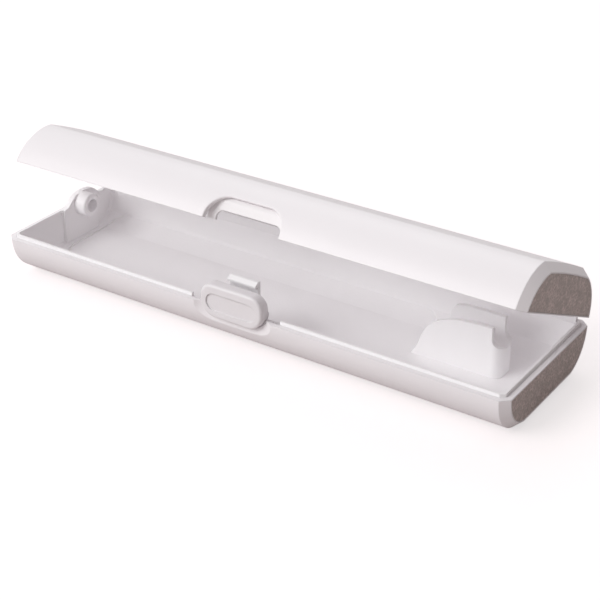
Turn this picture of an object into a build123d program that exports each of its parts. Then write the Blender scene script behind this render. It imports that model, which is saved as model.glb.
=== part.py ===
"""Travel case for an electric toothbrush: two shallow shells hinged along the back edge.

The base holds a moulded tray with a peg for the foot of the handle at its left end and a
cradle for the brush neck at its right end. The lid is held shut by a sprung press latch in
the middle of the front wall. Millimetres, X along the case, +Y to the hinge, +Z up.

Everything is drawn in the closed case's own frame, with z = 0 on the parting plane, and is
lifted by the base's depth when it is written, so that the case stands on z = 0. The lid is
drawn shut and is swung open by LID_REST_ANGLE for its place at rest.
"""
import math
import os
from typing import NamedTuple

from build123d import *

# ---- the two shells ----
LENGTH = 226.0              # over both end faces
WIDTH = 66.6                # over the side walls, at the parting plane
BASE_DEPTH = 17.3           # parting plane to the flat underside
BASE_FLOOR_HALF = 19.0      # middle of the case to where the flat underside ends
BASE_SIDE_RADIUS = 17.3     # round side of the base
LID_SHOULDER = 17.6         # parting plane to the crease beside the lid's top
LID_SHOULDER_HALF = 19.1    # middle of the case to that crease
LID_CROWN_RISE = 0.6        # how far the lid's top is crowned above its creases
LID_SIDE_RADIUS = 21.1      # round side of the lid
FACET_LENGTH = 3.2          # bevel round each end face, measured along the case
FACET_INSET = 2.9           # the same bevel, measured across the case
SHELL_WALL = 2.0
PARTING_GAP = 0.3           # lid rim above base rim when shut

# ---- liners ----
LINER_GAP = 0.1             # glue line between a shell and its liner
LINER_WALL = 1.3
TRAY_CREASE_DEPTH = 9.8     # where the tray's round side turns into a straight wall
TRAY_RIM_WALL = 3.4         # shell, gap and liner together at the rim
TONGUE_HEIGHT = 1.2         # tray wall that stands above the base rim
BACK_TONGUE_HEIGHT = 3.7    # the same wall along the hinge, which closes the slit there
BACK_TONGUE_STEP = 0.6      # how far that taller wall stands inside the tray's own wall
TONGUE_CLEARANCE = 0.4      # tongue to the inside of the lid shell
LID_LINER_LIFT = 1.4        # lid liner above the top of the tongue

# ---- end inlays ----
INLAY_THICKNESS = 0.9
INLAY_LAND = 0.45           # width of shell left round an inlay
INLAY_SINK = 0.1            # inlay face below the end face
INLAY_CLEARANCE = 0.1       # round the edge of an inlay

# ---- hinge ----
HINGE_SETBACK = 3.0         # axis behind the back wall
HINGE_RISE = 0.16           # axis above the parting plane
HINGE_STATION = 62.0        # middle of the case to the middle of a hinge
KNUCKLE_RADIUS = 2.6
LID_KNUCKLE = 8.0           # length of the lid's knuckle
BASE_KNUCKLE = 6.0          # length of each of the base's two knuckles
KNUCKLE_GAP = 0.4           # between neighbouring knuckles
HINGE_PIN_RADIUS = 1.0
HINGE_PIN_BEVEL = 0.2
HINGE_RUNNING = 0.05        # radial clearance in the lid's knuckle
HINGE_SEAT = 0.01           # radial clearance in the base's knuckles
WEB_TOP = 0.8               # where that web starts on the wall, from the parting plane
WEB_DROP = 7.6              # how far a knuckle's web reaches along the wall
LID_REST_ANGLE = 26.45      # lid open at rest, degrees

# ---- handle trough in the tray's floor ----
TROUGH_LEFT = -106.0
TROUGH_RIGHT = 57.0
TROUGH_FRONT = -10.0
TROUGH_BACK = 26.5
TROUGH_CORNER = 8.0
TROUGH_DEPTH = 0.7

# ---- hump and peg at the left end ----
HUMP_Y = 9.3                # middle of the raised part of the end wall
HUMP_TOP = 6.3              # above the parting plane
HUMP_TOP_RADIUS = 12.0
HUMP_BROW_HALF = 5.6        # half width where the flanks begin
HUMP_BROW_Z = 5.3
HUMP_BROW_RADIUS = 4.0
HUMP_FOOT_HALF = 10.5       # half width where the flanks would meet the tongue
HUMP_FOOT_RADIUS = 4.0      # hollow between a flank and the tongue
HUMP_FAR_HALF = 13.5        # half width of its root in the rim
HUMP_ROOT = 0.5             # depth of that root
HUMP_WALL = 1.6
HUMP_RELIEF = 0.6           # clearance of the lid liner round the hump
PEG_PLATE_FRONT = -3.2
PEG_PLATE_BACK = 17.0
PEG_PLATE_WALL = 1.4
PEG_Y = 7.9
PEG_Z = 1.0
PEG_RADIUS = 5.0
PEG_LENGTH = 5.6
PEG_EDGE = 1.0
PEG_HOLE_RADIUS = 2.75
PEG_HOLE_DEPTH = 4.4

# ---- neck cradle at the right end ----
CRADLE_Y = 4.7
CRADLE_HALF = 5.8           # half width over both walls
CRADLE_FRONT_X = 58.0       # where the front wall begins
CRADLE_BACK_X = 66.4        # where the back wall begins
CRADLE_END = 94.0
CRADLE_CORNER = 3.5         # round upright corners at its end
CRADLE_WALL = 1.4
CRADLE_STEP_X = 90.5        # where the walls drop to the low step
CRADLE_TOP = 6.4            # above the parting plane
CRADLE_STEP_Z = -1.5
CHANNEL_Z = 1.5             # axis of the round neck channel
CHANNEL_RADIUS = 4.2
CHANNEL_X = 79.0            # where the ramp up from the floor meets the channel
RAMP_X = 69.5               # where that ramp leaves the floor
RAMP_START = (1, 0, 0.6)    # its direction there
RAMP_END = (1, 0, 0.1)      # its direction where it meets the channel
# top edge of each wall as seen from the front: x and height above the parting plane
CRADLE_FRONT_SLOPE = ((60.0, -10.6), (61.3, -7.2), (63.5, -1.9), (65.8, 0.8), (69.5, 3.2), (73.5, 4.8),
                      (77.5, 5.7), (84.0, 6.2))
CRADLE_BACK_SLOPE = ((67.2, -8.0), (67.9, -2.0), (68.8, 2.6), (70.6, 5.2), (73.6, 6.2), (80.0, 6.5))
CRADLE_RISE = (0.4, 0, 1)   # direction in which both leave the floor

# ---- latch ----
LATCH_X = 0.0
PAD_WIDTH = 27.8
PAD_BOTTOM = -4.5
PAD_TOP = 9.1
PAD_CORNER = 6.6            # round lower corners
PAD_TOP_CORNER = 5.4        # round upper corners
PAD_PROUD = 0.8             # face in front of the wall
PAD_DEPTH = 4.5             # thickness of the upper half
PAD_SKIRT_DEPTH = 5.1       # thickness of the lower half
PAD_SKIRT_TOP = 2.4
PAD_EDGE = 1.1              # rounding round the face
PAD_WALL = 1.7
RECESS_LENGTH = 22.4        # bare oval in the face
RECESS_HEIGHT = 7.1
RECESS_Z = 2.1
RECESS_DEPTH = 0.5
EAR_WIDTH = 2.4             # stops that rest behind the wall
EAR_HEIGHT = 2.8
EAR_WALL = 1.4
EAR_GAP = 0.3               # behind an ear, to the end of the skirt
EAR_Z = -3.4
BOSS_X = 7.0                # stakes that carry the lever
BOSS_Z = 1.0
BOSS_RADIUS = 1.7
STAKE_RADIUS = 0.8
STAKE_CLEARANCE = 0.03
PAD_GAP = 0.45              # pad to the edge of the hole in the base
BASE_SCOOP = 3.1            # bevel of that hole, sideways
BASE_SCOOP_DROP = 5.5       # the same bevel, downwards
BASE_SCOOP_DEPTH = 2.1      # how deep the bevel goes in from the front
BASE_SCOOP_CORNER = 8.5
ARCH_X = -1.0               # middle of the arch in the lid's front wall
ARCH_HALF = 16.7
ARCH_TOP = 9.7
ARCH_CORNER = 8.5
ARCH_EDGE = 0.6             # rounding of its outer edge
POCKET_HALF = 19.0          # recess in the lid liner behind the arch
POCKET_TOP = 11.8
POCKET_SETBACK = 5.1        # front wall of the case to the recess's back wall
POCKET_WALL = 1.2
GATE_HALF = 14.4            # arch in that back wall, which the hook passes
GATE_TOP = 4.4
GATE_CORNER = 3.0

# ---- latch lever, pin, spring and keeper ----
PIVOT_SETBACK = 8.1         # front wall to the lever's axis
PIVOT_Z = -8.4
PIVOT_RADIUS = 1.0
PIVOT_RUNNING = 0.05
PIVOT_SEAT = 0.01
BARREL_RADIUS = 2.2
LEVER_HALF = 9.4
LEVER_SETBACK = 4.6         # front wall to the lever's plate
LEVER_WALL = 1.6
LEVER_TOP = 3.6
HOOK_HALF = 6.35
HOOK_STEM = 1.6
HOOK_SETBACK = 9.7          # front wall to the back of the hook
HOOK_SHELF = 1.5
NOSE_REACH = 1.6
NOSE_BOTTOM = 8.6
NOSE_LIP = 0.9
NOSE_TOP = 10.6
LUG_WALL = 2.4
LUG_GAP = 0.4
LUG_RADIUS = 2.4
HOOK_WINDOW_SETBACK = 10.9  # back edge of the window in the lid liner that the hook enters
HOOK_WINDOW_TOP = 12.8
HOOK_WINDOW_HALF = 8.3
KEEPER_HALF = 8.0
KEEPER_BOTTOM = 5.0
KEEPER_TOP = 8.3
KEEPER_REACH = 1.1
KEEPER_SEAT = 0.02          # glue line behind it
BAY_HALF = 20.0             # gap in the tongue and bay in the tray, for the latch
BAY_SETBACK = 10.7          # front wall to the bay's back wall
BAY_TOP = -6.0
SEAT_HALF = 3.5
SEAT_TOP = 0.9
SPRING_Z = -1.4
SPRING_RADIUS = 1.75        # to the middle of the wire
SPRING_WIRE = 0.25          # wire radius
SPRING_TURNS = 4.0

HALF = LENGTH / 2
FRONT = -WIDTH / 2
PAD_FACE_Y = FRONT - PAD_PROUD
PAD_BACK_Y = PAD_FACE_Y + PAD_DEPTH
PAD_SKIRT_Y = PAD_FACE_Y + PAD_SKIRT_DEPTH
POCKET_WALL_Y = FRONT + POCKET_SETBACK
PIVOT_Y = FRONT + PIVOT_SETBACK
LEVER_FRONT_Y = FRONT + LEVER_SETBACK
HOOK_BACK_Y = FRONT + HOOK_SETBACK
HOOK_WINDOW_BACK_Y = FRONT + HOOK_WINDOW_SETBACK
BAY_BACK_Y = FRONT + BAY_SETBACK
HINGE_Y = WIDTH / 2 + HINGE_SETBACK
TRAY_INSET = SHELL_WALL + LINER_GAP
SAME = 0.01                 # two points nearer than this are one point
FAR = LENGTH                # reach of a cutting block, past everything
PAST = 1.0                  # how far a cutter runs out of the face it opens


class Form(NamedTuple):
    """Half outline of a shell: a round side that ends in a flat or crowned top."""
    up: int
    side_radius: float
    top_half: float
    height: float
    rise: float


BASE = Form(-1, BASE_SIDE_RADIUS, BASE_FLOOR_HALF, BASE_DEPTH, 0.0)
LID = Form(1, LID_SIDE_RADIUS, LID_SHOULDER_HALF, LID_SHOULDER, LID_CROWN_RISE)


def side_centre(form):
    """Centre of the round side, from its two ends and its radius, with height upwards."""
    start = Vector(WIDTH / 2, 0)
    end = Vector(form.top_half, form.height)
    chord = end - start
    reach = math.sqrt(form.side_radius ** 2 - (chord.length / 2) ** 2)
    towards_middle = Vector(-chord.Y, chord.X).normalized()
    return (start + end) * 0.5 + towards_middle * reach


def side_points(form, inset):
    """Rim, middle and top of the round side, moved inwards by inset."""
    centre = side_centre(form)
    radius = form.side_radius - inset
    top = form.height - inset
    rim_angle = math.asin(-centre.Y / radius)
    top_angle = math.asin((top - centre.Y) / radius)
    angles = (rim_angle, (rim_angle + top_angle) / 2, top_angle)
    return [(centre.X + radius * math.cos(a), centre.Y + radius * math.sin(a)) for a in angles]


def side_y(form, inset, height):
    """Half width of a case moved inwards by inset, at a height from the parting plane."""
    centre = side_centre(form)
    return centre.X + math.sqrt((form.side_radius - inset) ** 2 - (height - centre.Y) ** 2)


def across(form, points, x):
    """Points of a section, given in y and height, placed in space at x."""
    return [(x, y, form.up * z) for y, z in points]


def section(form, inset, x):
    """Closed outline of a half case across X, moved inwards by inset."""
    rim, middle, top = side_points(form, inset)
    right = across(form, (rim, middle, top), x)
    left = across(form, [(-y, z) for y, z in (top, middle, rim)], x)
    edges = [ThreePointArc(*right), ThreePointArc(*left), Line(left[2], right[0])]
    if form.rise:
        crown = (x, 0, form.up * (form.height - inset + form.rise))
        edges.insert(1, ThreePointArc(right[2], crown, left[0]))
    else:
        edges.insert(1, Line(right[2], left[0]))
    return make_face(edges)


def stations(inset):
    """Where an offset case changes slope along X, each with the inset of its section."""
    slant = (math.sqrt(2) - 1) * inset
    end = (HALF - inset, FACET_INSET + slant)
    shoulder = (HALF - FACET_LENGTH - slant, inset)
    return [(-end[0], end[1]), (-shoulder[0], shoulder[1]), shoulder, end]


def hull(form, inset):
    """Half case as one closed solid, moved inwards by inset on every side but the rim."""
    return loft([section(form, side, x) for x, side in stations(inset)], ruled=True)


def block(x, y, z):
    """Box between two limits on each axis."""
    size = [high - low for low, high in (x, y, z)]
    middle = [(high + low) / 2 for low, high in (x, y, z)]
    return Pos(*middle) * Box(*size)


def rim_plan(inset):
    """Outline of the case at the parting plane, moved inwards by inset."""
    corners = [(x, side_points(BASE, side)[0][0]) for x, side in stations(inset)]
    outline = corners + [(x, -y) for x, y in reversed(corners)]
    return make_face(Polyline(*outline, close=True))


def prism_x(points, x0, x1):
    """Straight-sided solid along X from a polygon given in y and z."""
    face = make_face(Polyline(*[(x0, y, z) for y, z in points], close=True))
    return extrude(face, amount=x1 - x0, dir=(1, 0, 0))


def rod_x(y, z, radius, x0, x1):
    """Round bar along X."""
    return Pos((x0 + x1) / 2, y, z) * Rot(0, 90, 0) * Cylinder(radius, x1 - x0)


def facing_front(x, z, sketch):
    """Flat sketch stood up on the XZ plane with its middle at x and z."""
    return Pos(x, 0, z) * (Plane.XZ * sketch)


def upright(face, y0, y1):
    """Solid from a face drawn on the XZ plane, between two depths along Y."""
    return extrude(Pos(0, y0, 0) * face, amount=y1 - y0, dir=(0, 1, 0))


def arch_face(half, bottom, top, corner):
    """Upright face at y = 0, square below and round at its two upper corners."""
    square = facing_front(ARCH_X, (bottom + top) / 2, Rectangle(2 * half, top - bottom))
    return fillet(square.vertices().group_by(Axis.Z)[-1], corner)


def pan_face(half, bottom, top, corner):
    """Upright face in the latch's middle, square above and round at its two lower corners."""
    square = facing_front(LATCH_X, (bottom + top) / 2, Rectangle(2 * half, top - bottom))
    return fillet(square.vertices().group_by(Axis.Z)[0], corner)


# ---------------------------------------------------------------- end inlays

def inlay_outline(form, side, extra):
    """Sunk field of an end face: the end section less a land on every side."""
    inset = FACET_INSET + INLAY_LAND + extra
    field = section(form, inset, side * HALF)
    land = INLAY_LAND + extra + (PARTING_GAP if form is LID else 0)
    strip = block((-FAR, FAR), (-FAR, FAR), (-land, land))
    return field - strip


def inlay_recess(form, side):
    """Pocket cut into an end wall for its inlay."""
    depth = INLAY_THICKNESS + INLAY_SINK
    return extrude(inlay_outline(form, side, 0.0), amount=depth, dir=(-side, 0, 0))


def make_inlay(form, side):
    """Thin textured plate that fills the recess of one end wall."""
    plate = extrude(inlay_outline(form, side, INLAY_CLEARANCE), amount=INLAY_THICKNESS,
                    dir=(-side, 0, 0))
    return Pos(-side * INLAY_SINK, 0, 0) * plate


# ---------------------------------------------------------------- hinge

def knuckle(x0, x1, up, bore):
    """Barrel round the hinge axis and the web that ties it to a back wall."""
    barrel = rod_x(HINGE_Y, HINGE_RISE, KNUCKLE_RADIUS, x0, x1)
    lean = KNUCKLE_RADIUS / math.sqrt(2)
    wall_y = WIDTH / 2 - SHELL_WALL / 2
    foot_y = side_y(BASE if up < 0 else LID, SHELL_WALL / 2, WEB_DROP)
    web = prism_x([(wall_y, up * WEB_TOP), (HINGE_Y, HINGE_RISE + up * KNUCKLE_GAP),
                   (HINGE_Y + lean, HINGE_RISE + up * lean), (foot_y, up * WEB_DROP)], x0, x1)
    return barrel + web - rod_x(HINGE_Y, HINGE_RISE, bore, x0 - PAST, x1 + PAST)


def hinge_spans():
    """X limits of the lid knuckle and the two base knuckles of each hinge."""
    inner = LID_KNUCKLE / 2
    outer = inner + KNUCKLE_GAP
    for middle in (-HINGE_STATION, HINGE_STATION):
        yield ((middle - inner, middle + inner),
               ((middle - outer - BASE_KNUCKLE, middle - outer),
                (middle + outer, middle + outer + BASE_KNUCKLE)))


def make_hinge_pin(side):
    """Steel pin of one hinge, with slightly broken ends."""
    reach = LID_KNUCKLE / 2 + KNUCKLE_GAP + BASE_KNUCKLE
    middle = side * HINGE_STATION
    pin = rod_x(HINGE_Y, HINGE_RISE, HINGE_PIN_RADIUS, middle - reach, middle + reach)
    return chamfer(pin.edges().filter_by(GeomType.CIRCLE), HINGE_PIN_BEVEL)


# ---------------------------------------------------------------- base shell

def latch_hole():
    """Opening in the base's front wall for the button: a straight hole and a bevel round it."""
    half = PAD_WIDTH / 2 + PAD_GAP
    bottom = PAD_BOTTOM - PAD_GAP
    corner = PAD_CORNER + PAD_GAP
    above = BASE_DEPTH
    straight = upright(pan_face(half, bottom, above, corner), -WIDTH, -WIDTH / 4)
    front = -WIDTH / 2
    scale = 1 + SHELL_WALL / BASE_SCOOP_DEPTH
    wide = pan_face(half + BASE_SCOOP * scale, bottom - BASE_SCOOP_DROP * scale, above,
                    corner + (BASE_SCOOP_CORNER - corner) * scale)
    narrow = pan_face(half, bottom, above, corner)
    bevel = loft([Pos(0, front - SHELL_WALL, 0) * wide, Pos(0, front + BASE_SCOOP_DEPTH, 0) * narrow],
                 ruled=True)
    return straight, bevel


def latch_lugs():
    """Two ears inside the base shell that carry the latch pin."""
    lugs = []
    for side in (-1, 1):
        near = LATCH_X + side * (LEVER_HALF + LUG_GAP)
        far = near + side * LUG_WALL
        x0, x1 = min(near, far), max(near, far)
        ear = rod_x(PIVOT_Y, PIVOT_Z, LUG_RADIUS, x0, x1)
        ear += block((x0, x1), (-WIDTH / 2, PIVOT_Y), (PIVOT_Z - LUG_RADIUS, PIVOT_Z + LUG_RADIUS))
        ear += block((x0, x1), (PIVOT_Y - LUG_RADIUS, PIVOT_Y + LUG_RADIUS), (-BASE_DEPTH, PIVOT_Z))
        ear -= rod_x(PIVOT_Y, PIVOT_Z, PIVOT_RADIUS + PIVOT_SEAT, x0 - PAST, x1 + PAST)
        lugs.append(ear)
    return lugs


def make_base_shell():
    shell = hull(BASE, 0) - hull(BASE, SHELL_WALL)
    for ear in latch_lugs():
        shell += ear & hull(BASE, SHELL_WALL / 2)
    for cut in latch_hole():
        shell -= cut
    for _, spans in hinge_spans():
        for x0, x1 in spans:
            shell += knuckle(x0, x1, -1, HINGE_PIN_RADIUS + HINGE_SEAT)
    for side in (-1, 1):
        shell -= inlay_recess(BASE, side)
    return shell


# ---------------------------------------------------------------- tray

def tray_section(inset, x):
    """Inside of the tray across X: straight upper walls, round lower corners, flat floor."""
    centre = side_centre(BASE)
    radius = BASE.side_radius - inset
    rim = side_points(BASE, inset)[0]
    top_angle = math.asin((BASE.height - inset - centre.Y) / radius)
    crease_depth = min(TRAY_CREASE_DEPTH, BASE.height - inset - LINER_WALL)
    crease_angle = math.asin((crease_depth - centre.Y) / radius)
    angles = (crease_angle, (crease_angle + top_angle) / 2, top_angle)
    points = [(centre.X + radius * math.cos(a), centre.Y + radius * math.sin(a)) for a in angles]
    right = across(BASE, [rim] + points, x)
    left = across(BASE, [(-y, z) for y, z in reversed([rim] + points)], x)
    return make_face([Line(right[0], right[1]), ThreePointArc(*right[1:]), Line(right[3], left[0]),
                      ThreePointArc(*left[:3]), Line(left[2], left[3]), Line(left[3], right[0])])


def tray_hollow():
    return loft([tray_section(side, x) for x, side in stations(TRAY_RIM_WALL)], ruled=True)


def floor_z():
    """Top of the tray's floor."""
    return -(BASE_DEPTH - TRAY_RIM_WALL)


def trough():
    """Shallow bed for the handle, sunk into the floor and up the back of the tray."""
    deeper = TRAY_RIM_WALL - TROUGH_DEPTH
    sunk = loft([tray_section(side, x) for x, side in stations(deeper)], ruled=True)
    size = (TROUGH_RIGHT - TROUGH_LEFT, TROUGH_BACK - TROUGH_FRONT)
    middle = ((TROUGH_RIGHT + TROUGH_LEFT) / 2, (TROUGH_BACK + TROUGH_FRONT) / 2)
    plan = Pos(*middle) * RectangleRounded(*size, TROUGH_CORNER)
    return sunk & extrude(Pos(0, 0, -BASE_DEPTH) * plan, amount=BASE_DEPTH - TRAY_CREASE_DEPTH / 2)


def hump_face(extra):
    """Raised part of the left end wall, on the YZ plane, grown by extra on every side."""
    flank = [(HUMP_FAR_HALF, -HUMP_ROOT), (HUMP_FAR_HALF, TONGUE_HEIGHT),
             (HUMP_FOOT_HALF + extra, TONGUE_HEIGHT), (HUMP_BROW_HALF + extra, HUMP_BROW_Z + extra),
             (0, HUMP_TOP + extra)]
    outline = [(0, HUMP_Y + y, z) for y, z in flank]
    outline += [(0, HUMP_Y - y, z) for y, z in reversed(flank[:-1])]
    face = make_face(Polyline(*outline, close=True))
    for y, z, radius in ((flank[2] + (HUMP_FOOT_RADIUS,)), (flank[3] + (HUMP_BROW_RADIUS,)),
                         (flank[4] + (HUMP_TOP_RADIUS,))):
        corners = [v for v in face.vertices() if math.hypot(abs(v.Y - HUMP_Y) - y, v.Z - z) < SAME]
        face = fillet(corners, radius)
    return face


def make_peg_end():
    """Hump, peg plate and peg at the left end of the tray."""
    wall_x = -(HALF - SHELL_WALL - TONGUE_CLEARANCE)
    plate_x = -(HALF - TRAY_RIM_WALL)
    plate_end = plate_x + PEG_PLATE_WALL
    hump = extrude(Pos(wall_x, 0, 0) * hump_face(0), amount=HUMP_WALL, dir=(1, 0, 0))
    plate = extrude(Pos(plate_x, 0, 0) * hump_face(0), amount=PEG_PLATE_WALL, dir=(1, 0, 0))
    plate += block((plate_x, plate_end), (PEG_PLATE_FRONT, PEG_PLATE_BACK),
                   (floor_z() - LINER_WALL / 2, TONGUE_HEIGHT))
    plate &= block((-FAR, FAR), (PEG_PLATE_FRONT, PEG_PLATE_BACK), (-FAR, FAR))
    peg_end = plate_end + PEG_LENGTH
    peg = rod_x(PEG_Y, PEG_Z, PEG_RADIUS, plate_x, peg_end)
    rim = peg.edges().filter_by(GeomType.CIRCLE).sort_by(Axis.X)[-1]
    peg = fillet(rim, PEG_EDGE)
    peg -= rod_x(PEG_Y, PEG_Z, PEG_HOLE_RADIUS, peg_end - PEG_HOLE_DEPTH, peg_end + PAST)
    return hump + plate + peg


def cradle_plan(shrink):
    """Outline of the cradle in plan: slanted where its walls begin, round at its far end."""
    near = CRADLE_Y - CRADLE_HALF + shrink
    far = CRADLE_Y + CRADLE_HALF - shrink
    end = CRADLE_END - shrink
    corners = [(CRADLE_FRONT_X + shrink, near), (end, near), (end, far), (CRADLE_BACK_X + shrink, far)]
    face = make_face(Polyline(*corners, close=True))
    return fillet(face.vertices().group_by(Axis.X)[-1], CRADLE_CORNER - shrink)


def cradle_wall(start_x, rise, y0, y1, drop):
    """Cradle seen from the front, lowered by drop: a round slope, a crest, and a low step."""
    start = (start_x, 0, floor_z() - drop)
    slope = [start] + [(x, 0, z - drop) for x, z in rise] + [(CRADLE_STEP_X, 0, CRADLE_TOP - drop)]
    sweep_radius = CRADLE_END - CRADLE_STEP_X
    low = (CRADLE_END, 0, CRADLE_STEP_Z - drop)
    high = (CRADLE_STEP_X, 0, CRADLE_STEP_Z + sweep_radius - drop)
    bulge = sweep_radius * (1 - math.sqrt(0.5))
    middle = (CRADLE_STEP_X + bulge, 0, CRADLE_STEP_Z + bulge - drop)
    foot = (start_x, 0, -BASE_DEPTH)
    far_foot = (CRADLE_END, 0, -BASE_DEPTH)
    edges = [Spline(*slope, tangents=[CRADLE_RISE, (1, 0, 0)]), Line(slope[-1], high),
             ThreePointArc(high, middle, low), Line(low, far_foot), Line(far_foot, foot), Line(foot, start)]
    return upright(make_face(edges), y0, y1)


def cradle_side(drop):
    """Both walls' side view, each over its own half of the cradle's width."""
    front = cradle_wall(CRADLE_FRONT_X, CRADLE_FRONT_SLOPE, FRONT, CRADLE_Y, drop)
    back = cradle_wall(CRADLE_BACK_X, CRADLE_BACK_SLOPE, CRADLE_Y, -FRONT, drop)
    return front + back


def neck_channel(grow):
    """Round-bottomed slot for the neck, with a ramp up to it from the floor."""
    radius = CHANNEL_RADIUS + grow
    sky = 2 * CRADLE_TOP
    slot = rod_x(CRADLE_Y, CHANNEL_Z, radius, CHANNEL_X, CRADLE_END + PAST)
    slot += block((CHANNEL_X, CRADLE_END + PAST), (CRADLE_Y - radius, CRADLE_Y + radius), (CHANNEL_Z, sky))
    bed = CHANNEL_Z - radius
    foot = (RAMP_X, 0, floor_z() - grow)
    top = (CHANNEL_X, 0, bed)
    left = CRADLE_FRONT_X - CRADLE_CORNER
    ramp = make_face([Spline(foot, top, tangents=[RAMP_START, RAMP_END]), Line(top, (CHANNEL_X, 0, sky)),
                      Line((CHANNEL_X, 0, sky), (left, 0, sky)), Line((left, 0, sky), (left, 0, foot[2])),
                      Line((left, 0, foot[2]), foot)])
    return slot + upright(ramp, CRADLE_Y - radius, CRADLE_Y + radius)


def cradle_form():
    """Solid body of the cradle from below the floor up to its crest, channel cut."""
    body = extrude(Pos(0, 0, floor_z() - LINER_WALL / 2) * cradle_plan(0), amount=BASE_DEPTH + CRADLE_TOP)
    return (body & cradle_side(0)) - neck_channel(0)


def cradle_hollow():
    """Space under the cradle, which the mould leaves open to the base shell."""
    body = extrude(Pos(0, 0, -BASE_DEPTH) * cradle_plan(CRADLE_WALL), amount=BASE_DEPTH + CRADLE_TOP)
    return (body & cradle_side(CRADLE_WALL)) - neck_channel(CRADLE_WALL)


def latch_bay(tray):
    """Cut the tray back behind the latch and wall the bay off."""
    x0, x1 = LATCH_X - BAY_HALF, LATCH_X + BAY_HALF
    tray -= block((x0, x1), (-WIDTH, BAY_BACK_Y), (-FAR, FAR))
    fence = block((x0 - LINER_WALL, x1 + LINER_WALL), (-WIDTH, BAY_BACK_Y + LINER_WALL), (-FAR, BAY_TOP))
    fence += block((LATCH_X - SEAT_HALF, LATCH_X + SEAT_HALF), (BAY_BACK_Y, BAY_BACK_Y + LINER_WALL),
                   (-FAR, SEAT_TOP))
    fence -= block((x0, x1), (-WIDTH, BAY_BACK_Y), (-FAR, FAR))
    return tray + (fence & hull(BASE, TRAY_INSET).fuse(block((x0, x1), (-WIDTH / 2, 0), (0, SEAT_TOP))))


def make_tray():
    """Moulded liner of the base with its tongue, peg and cradle."""
    tray = hull(BASE, TRAY_INSET) - tray_hollow()
    ring = rim_plan(SHELL_WALL + TONGUE_CLEARANCE) - rim_plan(TRAY_RIM_WALL)
    tray += extrude(ring, amount=TONGUE_HEIGHT)
    back_half = HALF - TRAY_RIM_WALL - BACK_TONGUE_STEP
    ring = rim_plan(SHELL_WALL + TONGUE_CLEARANCE) - rim_plan(TRAY_RIM_WALL + BACK_TONGUE_STEP)
    tall = extrude(ring, amount=BACK_TONGUE_HEIGHT) & hull(LID, SHELL_WALL + TONGUE_CLEARANCE)
    tray += tall & block((-back_half, back_half), (0, FAR), (0, FAR))
    tray -= trough()
    tray += make_peg_end()
    tray += cradle_form()
    tray -= cradle_hollow()
    return latch_bay(tray)


# ---------------------------------------------------------------- lid

def arch_edges(shell):
    """Edges of the arch that lie on the outside of the lid."""
    centre = side_centre(LID)
    found = []
    for edge in shell.edges():
        p = edge.position_at(0.5)
        off = math.hypot(-p.Y - centre.X, p.Z - centre.Y) - LID_SIDE_RADIUS
        beside = abs(edge.center().X - ARCH_X) < ARCH_HALF + SAME
        above = p.Z > PARTING_GAP + SAME
        if beside and above and p.Y < 0 and abs(off) < SAME:
            found.append(edge)
    return found


def make_lid_shell():
    shell = hull(LID, 0) - hull(LID, SHELL_WALL)
    shell -= block((-FAR, FAR), (-FAR, FAR), (-FAR, PARTING_GAP))
    shell -= upright(arch_face(ARCH_HALF, -ARCH_TOP, ARCH_TOP, ARCH_CORNER), -WIDTH, -WIDTH / 4)
    shell = fillet(arch_edges(shell), ARCH_EDGE)
    for (x0, x1), _ in hinge_spans():
        shell += knuckle(x0, x1, 1, HINGE_PIN_RADIUS + HINGE_RUNNING)
    for side in (-1, 1):
        shell -= inlay_recess(LID, side)
    return shell


def make_lid_liner():
    """Inner skin of the lid, set back round the latch and the hump."""
    liner = hull(LID, TRAY_INSET) - hull(LID, TRAY_RIM_WALL)
    edge = TONGUE_HEIGHT + LID_LINER_LIFT
    liner -= block((-FAR, FAR), (-FAR, FAR), (-FAR, edge))
    liner -= block((-FAR, FAR), (WIDTH / 4, FAR), (-FAR, BACK_TONGUE_HEIGHT + LID_LINER_LIFT))
    liner -= extrude(Pos(-FAR, 0, 0) * hump_face(HUMP_RELIEF), amount=FAR - HALF / 2, dir=(1, 0, 0))
    x0, x1 = LATCH_X - POCKET_HALF, LATCH_X + POCKET_HALF
    wall_back = POCKET_WALL_Y + POCKET_WALL
    liner -= block((x0, x1), (-WIDTH, wall_back), (-FAR, POCKET_TOP))
    liner -= block((LATCH_X - HOOK_WINDOW_HALF, LATCH_X + HOOK_WINDOW_HALF), (-WIDTH, HOOK_WINDOW_BACK_Y),
                   (KEEPER_BOTTOM, HOOK_WINDOW_TOP))
    pocket = block((x0 - POCKET_WALL, x1 + POCKET_WALL), (-WIDTH, wall_back),
                   (PARTING_GAP, POCKET_TOP + POCKET_WALL))
    pocket -= block((x0, x1), (-WIDTH, POCKET_WALL_Y), (-FAR, POCKET_TOP))
    pocket -= upright(arch_face(GATE_HALF, -GATE_TOP, GATE_TOP, GATE_CORNER), -WIDTH, -WIDTH / 4)
    side_cut = block((-FAR, FAR), (-WIDTH, -WIDTH / 4), (-FAR, edge))
    side_cut -= block((x0, x1), (-WIDTH, WIDTH), (-FAR, FAR))
    return liner + ((pocket - side_cut) & hull(LID, TRAY_INSET))


def make_keeper():
    """Strip behind the gate that the hook's nose catches."""
    back = POCKET_WALL_Y + POCKET_WALL + KEEPER_SEAT
    strip = block((LATCH_X - KEEPER_HALF, LATCH_X + KEEPER_HALF), (back, back + KEEPER_REACH),
                  (KEEPER_BOTTOM, KEEPER_TOP))
    lower_edge = strip.edges().filter_by(Axis.X).group_by(Axis.Z)[0].sort_by(Axis.Y)[-1]
    return chamfer(lower_edge, KEEPER_REACH / 2)


# ---------------------------------------------------------------- latch

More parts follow.
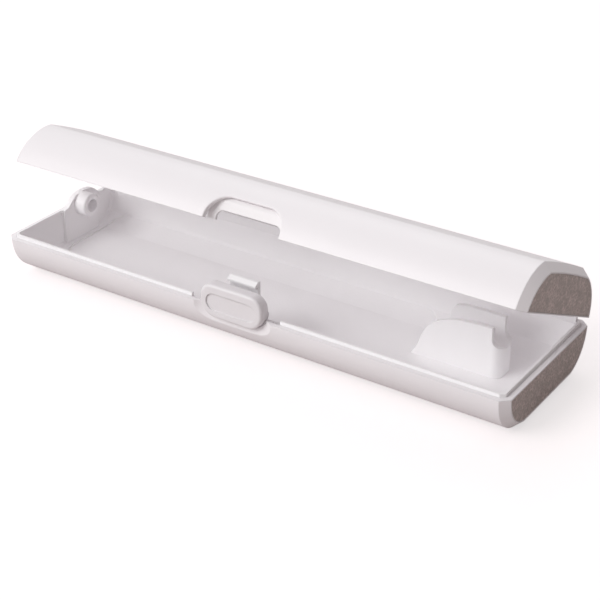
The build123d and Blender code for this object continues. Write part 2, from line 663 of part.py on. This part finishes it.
def pad_face(shrink):
    """Outline of the pad, made smaller by shrink on every side."""
    height = PAD_TOP - PAD_BOTTOM - 2 * shrink
    middle = (PAD_TOP + PAD_BOTTOM) / 2
    square = facing_front(LATCH_X, middle, Rectangle(PAD_WIDTH - 2 * shrink, height))
    face = fillet(square.vertices().group_by(Axis.Z)[0], PAD_CORNER - shrink)
    return fillet(face.vertices().filter_by(lambda v: v.Z > PAD_TOP - shrink - SAME), PAD_TOP_CORNER - shrink)


def make_button():
    """Press pad with a bare oval recess, hollow behind, with ears and two stakes."""
    outer = upright(pad_face(0), PAD_FACE_Y, PAD_SKIRT_Y)
    outer = fillet(outer.faces().sort_by(Axis.Y)[0].edges(), PAD_EDGE)
    room = upright(pad_face(PAD_WALL), PAD_FACE_Y + PAD_WALL, 0)
    pad = outer - room - block((-FAR, FAR), (PAD_BACK_Y, 0), (PAD_SKIRT_TOP, FAR))
    oval = facing_front(LATCH_X, RECESS_Z, SlotOverall(RECESS_LENGTH, RECESS_HEIGHT))
    pad -= upright(oval, PAD_FACE_Y - PAST, PAD_FACE_Y + RECESS_DEPTH)
    for side in (-1, 1):
        near = LATCH_X + side * (PAD_WIDTH / 2 - PAD_WALL)
        far = LATCH_X + side * (PAD_WIDTH / 2 + EAR_WIDTH)
        ear_y = PAD_SKIRT_Y - EAR_GAP
        pad += block(sorted((near, far)), (ear_y - EAR_WALL, ear_y), (EAR_Z, EAR_Z + EAR_HEIGHT))
        boss = facing_front(LATCH_X + side * BOSS_X, BOSS_Z, Circle(BOSS_RADIUS))
        stake = facing_front(LATCH_X + side * BOSS_X, BOSS_Z, Circle(STAKE_RADIUS))
        pad += upright(boss, PAD_FACE_Y + PAD_WALL, LEVER_FRONT_Y)
        pad += upright(stake, LEVER_FRONT_Y, LEVER_FRONT_Y + LEVER_WALL)
    return pad


def make_lever():
    """Lever behind the pad: barrel on the pin, plate, and the hook that holds the lid."""
    x0, x1 = LATCH_X - LEVER_HALF, LATCH_X + LEVER_HALF
    back = LEVER_FRONT_Y + LEVER_WALL
    knee = PIVOT_Z + 2 * BARREL_RADIUS
    plate = prism_x([(PIVOT_Y - BARREL_RADIUS, PIVOT_Z), (LEVER_FRONT_Y, knee), (LEVER_FRONT_Y, LEVER_TOP),
                     (back, LEVER_TOP), (back, knee), (PIVOT_Y, PIVOT_Z)], x0, x1)
    lever = plate + rod_x(PIVOT_Y, PIVOT_Z, BARREL_RADIUS, x0, x1)
    stem = HOOK_BACK_Y - HOOK_STEM
    nose = stem - NOSE_REACH
    shelf = LEVER_TOP - HOOK_SHELF
    lever += prism_x([(LEVER_FRONT_Y, shelf), (LEVER_FRONT_Y, LEVER_TOP), (stem, LEVER_TOP),
                      (stem, NOSE_BOTTOM), (nose, NOSE_BOTTOM), (nose, NOSE_BOTTOM + NOSE_LIP),
                      (stem, NOSE_TOP), (HOOK_BACK_Y, NOSE_TOP), (HOOK_BACK_Y, shelf)],
                     LATCH_X - HOOK_HALF, LATCH_X + HOOK_HALF)
    lever -= rod_x(PIVOT_Y, PIVOT_Z, PIVOT_RADIUS + PIVOT_RUNNING, x0 - PAST, x1 + PAST)
    for side in (-1, 1):
        hole = facing_front(LATCH_X + side * BOSS_X, BOSS_Z, Circle(STAKE_RADIUS + STAKE_CLEARANCE))
        lever -= upright(hole, LEVER_FRONT_Y - PAST, back + PAST)
    return lever


def make_latch_pin():
    reach = LEVER_HALF + LUG_GAP + LUG_WALL
    return rod_x(PIVOT_Y, PIVOT_Z, PIVOT_RADIUS, LATCH_X - reach, LATCH_X + reach)


def make_spring():
    """Small coil spring between the lever and its seat on the bay wall."""
    front = LEVER_FRONT_Y + LEVER_WALL
    length = BAY_BACK_Y - front - 2 * SPRING_WIRE
    pitch = length / SPRING_TURNS
    path = Helix(pitch=pitch, height=length, radius=SPRING_RADIUS)
    start = path @ 0
    profile = Plane(origin=start, z_dir=path % 0) * Circle(SPRING_WIRE)
    coil = sweep(profile, path=path, is_frenet=True)
    return Pos(LATCH_X, front + SPRING_WIRE, SPRING_Z) * Rot(-90, 0, 0) * coil


# ---------------------------------------------------------------- writing

def opened(shape):
    """Swing a lid piece open about the hinge."""
    axis = Axis((0, HINGE_Y, HINGE_RISE), (-1, 0, 0))
    return shape.rotate(axis, LID_REST_ANGLE)


def build():
    fixed = {
        "base_shell": make_base_shell(),
        "base_tray": make_tray(),
        "base_end_inlay_left": make_inlay(BASE, -1),
        "base_end_inlay_right": make_inlay(BASE, 1),
        "hinge_pin_left": make_hinge_pin(-1),
        "hinge_pin_right": make_hinge_pin(1),
        "latch_pin": make_latch_pin(),
        "latch_spring": make_spring(),
        "latch_button": make_button(),
        "latch_lever": make_lever(),
    }
    swinging = {
        "lid_shell": make_lid_shell(),
        "lid_liner": make_lid_liner(),
        "lid_end_inlay_left": make_inlay(LID, -1),
        "lid_end_inlay_right": make_inlay(LID, 1),
        "latch_keeper": make_keeper(),
    }
    nodes = dict(fixed)
    nodes.update({name: opened(shape) for name, shape in swinging.items()})
    return {name: Pos(0, 0, BASE_DEPTH) * shape for name, shape in nodes.items()}


def main():
    os.makedirs("parts", exist_ok=True)
    for name, shape in build().items():
        export_step(shape, f"parts/{name}.step")
        print(f"{name}: {len(shape.solids())} solid, {shape.volume:.0f} mm3")


main()
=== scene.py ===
# %% [markdown]
# # A travel case for an electric toothbrush
#
# The case is two moulded shells on two steel hinge pins. Each shell holds a moulded liner,
# each end has a textured plate, whose warm grey is partly its own tone and partly painted
# shade, and a press latch keeps the lid shut. The exact solids come from the imported frame.
# This script gives each its finish, and sets the floor, the air, the lamps and the camera. No
# solid is moved or changed in shape.

import bpy
from mathutils import Matrix, Vector

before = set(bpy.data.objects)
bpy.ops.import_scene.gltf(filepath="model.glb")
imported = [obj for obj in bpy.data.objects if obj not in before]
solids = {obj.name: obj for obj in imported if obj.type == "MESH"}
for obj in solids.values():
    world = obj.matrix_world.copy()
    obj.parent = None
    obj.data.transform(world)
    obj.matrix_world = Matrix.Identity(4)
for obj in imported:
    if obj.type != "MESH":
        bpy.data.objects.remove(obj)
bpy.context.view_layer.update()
MM = 0.001
print("solids:", sorted(solids))

# %% [markdown]
# ## The camera
#
# The case is seen from its front right, 34 degrees round from straight in front and 28
# degrees above the table. The camera could be aimed with a tracking constraint, but exact
# directions keep the view the same to a pixel, so its matrix is built from them. A camera
# looks along its own -Z, so the matrix holds three directions: right, up and back. A long
# lens, from a little over half a metre away, keeps the sides nearly parallel.

# %% Camera
CAMERA_PLACE = (0.28735, -0.41650, 0.28198)
CAMERA_FORWARD = (-0.48952, 0.73001, -0.47690)
CAMERA_RIGHT = (0.83055, 0.55694, 0.0)
LENS_MM = 89.12
SENSOR_MM = 36.0
NEAREST_SEEN = 0.01

forward = Vector(CAMERA_FORWARD).normalized()
right = Vector(CAMERA_RIGHT).normalized()
up = right.cross(forward)
camera_data = bpy.data.cameras.new("view_camera")
camera_data.lens = LENS_MM
camera_data.sensor_width = SENSOR_MM
camera_data.clip_start = NEAREST_SEEN
camera = bpy.data.objects.new("view_camera", camera_data)
bpy.context.scene.collection.objects.link(camera)
turn = Matrix((right, up, -forward)).transposed()
camera.matrix_world = Matrix.Translation(CAMERA_PLACE) @ turn.to_4x4()
bpy.context.scene.camera = camera
bpy.context.scene.view_settings.view_transform = "Standard"
print("camera at", [round(v, 3) for v in camera.location])

# %% [markdown]
# ## Small helpers for materials
#
# Colours are written as hex values, as in a paint program or a web page. Blender's sockets
# want linear light, so one function turns one into the other. A second function adds a node,
# fills in its inputs and properties, and joins links, so that a material reads as a short
# list. A third starts an empty material, without the default nodes.

# %% Colour
def linear(hex_colour):
    """sRGB hex text to linear RGBA."""
    channels = [int(hex_colour[i:i + 2], 16) / 255 for i in (1, 3, 5)]
    return [c / 12.92 if c <= 0.04045 else ((c + 0.055) / 1.055) ** 2.4 for c in channels] + [1.0]


print("mid grey is", [round(c, 3) for c in linear("#808080")])


# %% Nodes
def add(tree, kind, inputs=None, **settings):
    """Adds a node. A value that is a socket is linked, any other is set."""
    node = tree.nodes.new(kind)
    for name, value in settings.items():
        setattr(node, name, value)
    for name, value in (inputs or {}).items():
        socket = node.inputs[name]
        if isinstance(value, bpy.types.NodeSocket):
            tree.links.new(value, socket)
        else:
            socket.default_value = value
    return node


def new_material(name):
    """An empty material and its node tree."""
    material = bpy.data.materials.new(name)
    material.use_nodes = True
    material.node_tree.nodes.clear()
    return material, material.node_tree


print("helpers ready")

# %% [markdown]
# ## Moulded plastic
#
# The shells are ABS from a polished mould, and the liners are polypropylene from a mould with
# a fine satin finish. Neither is a perfect mirror: the skin shrinks as it cools, which leaves
# a very shallow waviness some millimetres wide, and the mould's own polish leaves a fine
# grain. Both could be modelled, but they are far thinner than any triangle, so they are bump.
# The solids have sharp edges where a mould has small rounded ones. A bevel modifier would
# change the solids, so a bevel node rounds the edges in the light only, by 0.25 to 0.5 mm.
# The tint wanders by a part in a hundred, as it does in real white pigment. The lid's liner
# is the tray's polypropylene, made a shade greyer as painted shade for its recessed walls under the lid.

# %% Moulded plastic
ABS_IOR = 1.54
POLYPROPYLENE_IOR = 1.49
ACETAL_IOR = 1.48
TINT_MM = 27.0              # width of the patches of tint
WAVE_MM = 9.0               # width of the shrink waviness
WAVE_DEPTH = 1.0 * MM       # its full depth, of which a plastic takes a few hundredths
GRAIN_MM = 0.9              # the real grain is 0.05 mm, too fine to show, so it is drawn coarser
GRAIN_DEPTH = 0.2 * MM      # its full depth, of which a plastic takes a small part
GLOSS_SPREAD = 0.04         # how far the grain moves the roughness either way
EDGE_SAMPLES = 6


def moulded(name, colour, shade, roughness, ior, edge_mm, wave, grain):
    """Moulded plastic. Colour and shade are the two ends of its tint."""
    material, tree = new_material(name)
    place = add(tree, "ShaderNodeTexCoord").outputs["Object"]
    tint = add(tree, "ShaderNodeTexNoise", {"Vector": place, "Scale": 1 / (TINT_MM * MM), "Detail": 2.0})
    waves = add(tree, "ShaderNodeTexNoise", {"Vector": place, "Scale": 1 / (WAVE_MM * MM), "Detail": 1.0})
    fine = add(tree, "ShaderNodeTexNoise", {"Vector": place, "Scale": 1 / (GRAIN_MM * MM), "Detail": 2.0})
    pigment = add(tree, "ShaderNodeMix", {"Factor": tint.outputs["Fac"], "A": linear(colour),
                                          "B": linear(shade)}, data_type="RGBA")
    gloss = add(tree, "ShaderNodeMapRange", {"Value": fine.outputs["Fac"], "To Min": roughness - GLOSS_SPREAD,
                                             "To Max": roughness + GLOSS_SPREAD})
    rounded = add(tree, "ShaderNodeBevel", {"Radius": edge_mm * MM}, samples=EDGE_SAMPLES)
    wavy = add(tree, "ShaderNodeBump", {"Height": waves.outputs["Fac"], "Strength": wave,
                                        "Distance": WAVE_DEPTH, "Normal": rounded.outputs["Normal"]})
    grained = add(tree, "ShaderNodeBump", {"Height": fine.outputs["Fac"], "Strength": grain,
                                           "Distance": GRAIN_DEPTH, "Normal": wavy.outputs["Normal"]})
    skin = add(tree, "ShaderNodeBsdfPrincipled", {
        "Base Color": pigment.outputs["Result"], "Roughness": gloss.outputs["Result"], "IOR": ior,
        "Normal": grained.outputs["Normal"]})
    add(tree, "ShaderNodeOutputMaterial", {"Surface": skin.outputs["BSDF"]})
    return material


# %% [markdown]
# ## Which plastic where
#
# ABS takes a good polish, so the shells and the button shine more than the liners. The
# button's mould is a little smoother than the shells', and its white is a little greyer.
# Polypropylene comes out softer, and it is the brightest white of the case. Acetal is the
# slippery plastic of latches. It wears well against the steel pin and shines like the button.
# Each plastic could have a material built by hand, but they differ only in colour, gloss,
# refraction, edges and the depth of the waves and the grain, so one function makes them all.

# %% Plastics
abs_white = moulded("abs_white_polished", "#f1eef0", "#eeebed", 0.42, ABS_IOR, edge_mm=0.45,
                    wave=0.05, grain=0.15)
abs_button = moulded("abs_white_button", "#e8e5e7", "#e5e2e4", 0.4, ABS_IOR, edge_mm=0.5,
                     wave=0.04, grain=0.15)
pp_white = moulded("polypropylene_white_satin", "#fbfafb", "#f9f8f9", 0.48, POLYPROPYLENE_IOR, edge_mm=0.4,
                   wave=0.05, grain=0.3)
# Painted shade: the lid's liner is the tray's polypropylene, made greyer because it sits in the shade of the
# lid.
pp_lid_painted_shade = moulded("polypropylene_lid_satin_painted_shade", "#f3f1f2", "#f1eff0", 0.48, POLYPROPYLENE_IOR, edge_mm=0.4,
                 wave=0.05, grain=0.3)
acetal = moulded("acetal_white", "#f6f5f6", "#f3f2f3", 0.4, ACETAL_IOR, edge_mm=0.25,
                 wave=0.02, grain=0.2)
print("plastics:", abs_white.name, abs_button.name, pp_white.name, pp_lid_painted_shade.name, acetal.name)

# %% [markdown]
# ## Spark-textured plates, grey partly painted shade
#
# The end plates are ABS from a mould that a spark eroded into a fine leathery grain. Their
# warm grey is partly their own tone and partly painted shade of the dim right end of the case.
# Light breaks up on it, so the plates look flat and matt. Noise alone would look cloudy, so a
# cell pattern gives the grain its rounded pits, with painted shade darkening their bottoms. A
# noise then adds the wider patches that the sparks leave, so that the pits don't look printed.

# %% Textured plates
PIT_MM = 0.9                # the real pits are 0.2 mm across, drawn coarser so that they show
PIT_EDGE = 0.7              # distance from a pit's middle to its edge, in widths of a pit
PIT_DEPTH = 0.2 * MM
BLOTCH_MM = 2.0             # patches where the sparks bit deeper
BLOTCH_FROM, BLOTCH_TO = 0.35, 0.65     # the part of the noise that fades a patch in
BLOTCH_SHARE = 0.8          # how much of the pits' colour a full patch hides
PLATE_ROUGHNESS = 0.7

# Painted shade: the plates' warm grey is darker than their own tone, standing in for the dim right end of the
# case.
textured_grey_partly_painted_shade, tree = new_material("abs_spark_texture_grey_partly_painted_shade")
place = add(tree, "ShaderNodeTexCoord").outputs["Object"]
pits = add(tree, "ShaderNodeTexVoronoi", {"Vector": place, "Scale": 1 / (PIT_MM * MM), "Randomness": 1.0})
depth = add(tree, "ShaderNodeMapRange", {"Value": pits.outputs["Distance"], "From Max": PIT_EDGE})
# Painted shade: the middle of each pit, its bottom, gets the darker grey. The pit's real relief is the bump
# below.
grey = add(tree, "ShaderNodeMix", {"Factor": depth.outputs["Result"], "A": linear("#9d8f8b"),
                                   "B": linear("#d4c7c3")}, data_type="RGBA")
blotches = add(tree, "ShaderNodeTexNoise", {"Vector": place, "Scale": 1 / (BLOTCH_MM * MM), "Detail": 3.0})
worn = add(tree, "ShaderNodeMapRange", {"Value": blotches.outputs["Fac"], "From Min": BLOTCH_FROM,
                                        "From Max": BLOTCH_TO, "To Max": BLOTCH_SHARE})
mottled = add(tree, "ShaderNodeMix", {"Factor": worn.outputs["Result"], "A": grey.outputs["Result"],
                                      "B": linear("#aaa29d")}, data_type="RGBA")
relief = add(tree, "ShaderNodeBump", {"Height": depth.outputs["Result"], "Strength": 0.6,
                                      "Distance": PIT_DEPTH})
plate_skin = add(tree, "ShaderNodeBsdfPrincipled", {
    "Base Color": mottled.outputs["Result"], "Roughness": PLATE_ROUGHNESS, "IOR": ABS_IOR,
    "Normal": relief.outputs["Normal"]})
add(tree, "ShaderNodeOutputMaterial", {"Surface": plate_skin.outputs["BSDF"]})
print("plates:", textured_grey_partly_painted_shade.name, "with pits of", PIT_MM, "mm")

# %% [markdown]
# ## Drawn steel
#
# Pins and spring wire are pulled through a die, which leaves fine lines along their length.
# An anisotropic shader could give that shine, but it needs a direction along each piece, and
# that is hard to give to a coiled wire. A noise that is stretched on one axis gives streaks
# that look the same at this size. The pins are ground bright. The wire is darker from its oil.

# %% Steel
DRAW_LINE_MM = 0.15
LINE_DEPTH = 0.1 * MM
LINE_SPREAD = 0.08          # how far the lines move the roughness either way


def drawn_steel(name, colour, roughness, stretch):
    """Steel with draw lines. Stretch is the pattern's scale along each axis."""
    material, tree = new_material(name)
    place = add(tree, "ShaderNodeTexCoord").outputs["Object"]
    along = add(tree, "ShaderNodeMapping", {"Vector": place, "Scale": stretch})
    lines = add(tree, "ShaderNodeTexNoise", {"Vector": along.outputs["Vector"],
                                             "Scale": 1 / (DRAW_LINE_MM * MM), "Detail": 2.0})
    rough = add(tree, "ShaderNodeMapRange", {"Value": lines.outputs["Fac"], "To Min": roughness - LINE_SPREAD,
                                             "To Max": roughness + LINE_SPREAD})
    relief = add(tree, "ShaderNodeBump", {"Height": lines.outputs["Fac"], "Strength": 0.2,
                                          "Distance": LINE_DEPTH})
    skin = add(tree, "ShaderNodeBsdfPrincipled", {
        "Base Color": linear(colour), "Metallic": 1.0, "Roughness": rough.outputs["Result"],
        "Normal": relief.outputs["Normal"]})
    add(tree, "ShaderNodeOutputMaterial", {"Surface": skin.outputs["BSDF"]})
    return material


pin_steel = drawn_steel("steel_drawn_pin", "#c9c9ca", 0.28, stretch=(0.02, 1.0, 1.0))
wire_steel = drawn_steel("steel_spring_wire", "#b4b4b8", 0.32, stretch=(1.0, 0.2, 1.0))
print("steels:", pin_steel.name, wire_steel.name)

# %% [markdown]
# ## Dress the solids
#
# Every solid keeps its own shape and gets the finish of the real piece. Faces could be given
# finishes of their own, but each real piece is of one plastic or one steel, so one material
# for each solid is enough.

# %% Dress
FINISHES = {
    "base_shell": abs_white, "lid_shell": abs_white,
    "base_tray": pp_white, "lid_liner": pp_lid_painted_shade,
    "base_end_inlay_left": textured_grey_partly_painted_shade, "base_end_inlay_right": textured_grey_partly_painted_shade,
    "lid_end_inlay_left": textured_grey_partly_painted_shade, "lid_end_inlay_right": textured_grey_partly_painted_shade,
    "latch_button": abs_button, "latch_lever": acetal, "latch_keeper": acetal,
    "hinge_pin_left": pin_steel, "hinge_pin_right": pin_steel, "latch_pin": pin_steel,
    "latch_spring": wire_steel,
}
for name, finish in FINISHES.items():
    mesh = solids[name].data
    mesh.materials.clear()
    mesh.materials.append(finish)
print("dressed", len(FINISHES), "solids")

# %% [markdown]
# ## The floor
#
# The case stands on the pale sheet of a light tent. A sheet that is bright enough to look
# white would flood the underside with light, so the case gets the light of a plain pale
# sheet. The camera sees another one, a little darker but lifted by a glow until it is nearly
# white. Its shading still shows the shadow.

# %% Floor
FLOOR_SIZE = 8.0
SHEET_LIFT = 0.59           # glow that only the camera sees

half = FLOOR_SIZE / 2
floor_mesh = bpy.data.meshes.new("table")
corners = [(-half, -half, 0), (half, -half, 0), (half, half, 0), (-half, half, 0)]
floor_mesh.from_pydata(corners, [], [(0, 1, 2, 3)])
table = bpy.data.objects.new("table", floor_mesh)
bpy.context.scene.collection.objects.link(table)

table_white, tree = new_material("table_white")
path = add(tree, "ShaderNodeLightPath")
sheet = add(tree, "ShaderNodeBsdfDiffuse", {"Color": linear("#d3cccb")})
faint = add(tree, "ShaderNodeBsdfDiffuse", {"Color": linear("#c4bbbc")})
lift = add(tree, "ShaderNodeEmission", {"Color": linear("#ffffff"), "Strength": SHEET_LIFT})
pale = add(tree, "ShaderNodeAddShader", {0: faint.outputs["BSDF"], 1: lift.outputs["Emission"]})
both = add(tree, "ShaderNodeMixShader", {"Fac": path.outputs["Is Camera Ray"], 1: sheet.outputs["BSDF"],
                                         2: pale.outputs["Shader"]})
add(tree, "ShaderNodeOutputMaterial", {"Surface": both.outputs["Shader"]})
floor_mesh.materials.append(table_white)
print("table", FLOOR_SIZE, "m")

# %% [markdown]
# ## The air
#
# The tent has pale cloth in front, to the left, behind and above, and an open, darker side to
# the right, which is why the right end looks grey and warm. Panels of real cloth would cost
# render time and noise. The world can hold the same light as a colour for each direction, and
# a smooth step along X fades the cloth into the opening. The camera sees plain white instead,
# and so does a ray through a clear piece. Glossy rays still see the tent, so polished walls
# mirror the cloth and not the white.

# %% Air
CLOTH = 0.74                # light from the cloth
OPEN_SIDE = 0.18            # light from the open right side
OPEN_FROM, OPEN_TO = 0.1, 0.7       # how far a direction leans right before it sees the open side

world = bpy.data.worlds.new("light_tent")
bpy.context.scene.world = world
world.use_nodes = True
tree = world.node_tree
tree.nodes.clear()
path = add(tree, "ShaderNodeLightPath")
seen = add(tree, "ShaderNodeMath", {0: path.outputs["Is Camera Ray"], 1: path.outputs["Is Transmission Ray"]},
           operation="MAXIMUM")
place = add(tree, "ShaderNodeTexCoord").outputs["Generated"]
parts = add(tree, "ShaderNodeSeparateXYZ", {"Vector": place})
lean = add(tree, "ShaderNodeMapRange", {"Value": parts.outputs["X"], "From Min": OPEN_FROM,
                                        "From Max": OPEN_TO}, interpolation_type="SMOOTHSTEP")
cloth = add(tree, "ShaderNodeBackground", {"Color": linear("#fffdfe"), "Strength": CLOTH})
gap = add(tree, "ShaderNodeBackground", {"Color": linear("#fbe6e2"), "Strength": OPEN_SIDE})
tent = add(tree, "ShaderNodeMixShader", {"Fac": lean.outputs["Result"], 1: cloth.outputs["Background"],
                                         2: gap.outputs["Background"]})
bright = add(tree, "ShaderNodeBackground", {"Color": linear("#ffffff"), "Strength": 1.0})
both = add(tree, "ShaderNodeMixShader", {"Fac": seen.outputs["Value"], 1: tent.outputs["Shader"],
                                         2: bright.outputs["Background"]})
add(tree, "ShaderNodeOutputWorld", {"Surface": both.outputs["Shader"]})
print("tent", CLOTH, "open side", OPEN_SIDE)

# %% [markdown]
# ## The lamps
#
# Two lamps shine through the cloth. They could be small and hard, but a wide square lamp
# gives the soft edge that the shadow has on a real table. The larger one stands to the front
# left and shades the lid from its crown to its rim. The smaller one lights the back. Light
# has to bounce often between the white walls of the tray before it is spent, so the number of
# bounces is raised.

# %% Lamps
LAMP_AIM = (0, 0, 0.02)
KEY_PLACE = (-0.9, -1.6, 1.3)
KEY_SIZE, KEY_WATTS = 1.3, 24
BACK_PLACE = (-0.9, 1.5, 1.6)
BACK_SIZE, BACK_WATTS = 1.2, 7
WHITE_WALL_BOUNCES = 10


def soft_lamp(name, place, size, power):
    """Square soft lamp at place, facing the case. Size in metres, power in watts."""
    data = bpy.data.lights.new(name, "AREA")
    data.shape = "SQUARE"
    data.size = size
    data.energy = power
    lamp = bpy.data.objects.new(name, data)
    bpy.context.scene.collection.objects.link(lamp)
    lamp.location = place
    lamp.rotation_euler = (Vector(LAMP_AIM) - Vector(place)).to_track_quat("-Z", "Y").to_euler()


soft_lamp("key_lamp", KEY_PLACE, KEY_SIZE, KEY_WATTS)
soft_lamp("back_lamp", BACK_PLACE, BACK_SIZE, BACK_WATTS)
bpy.context.scene.cycles.diffuse_bounces = WHITE_WALL_BOUNCES

# %% [markdown]
# ## The end
#


print("scene dressed")
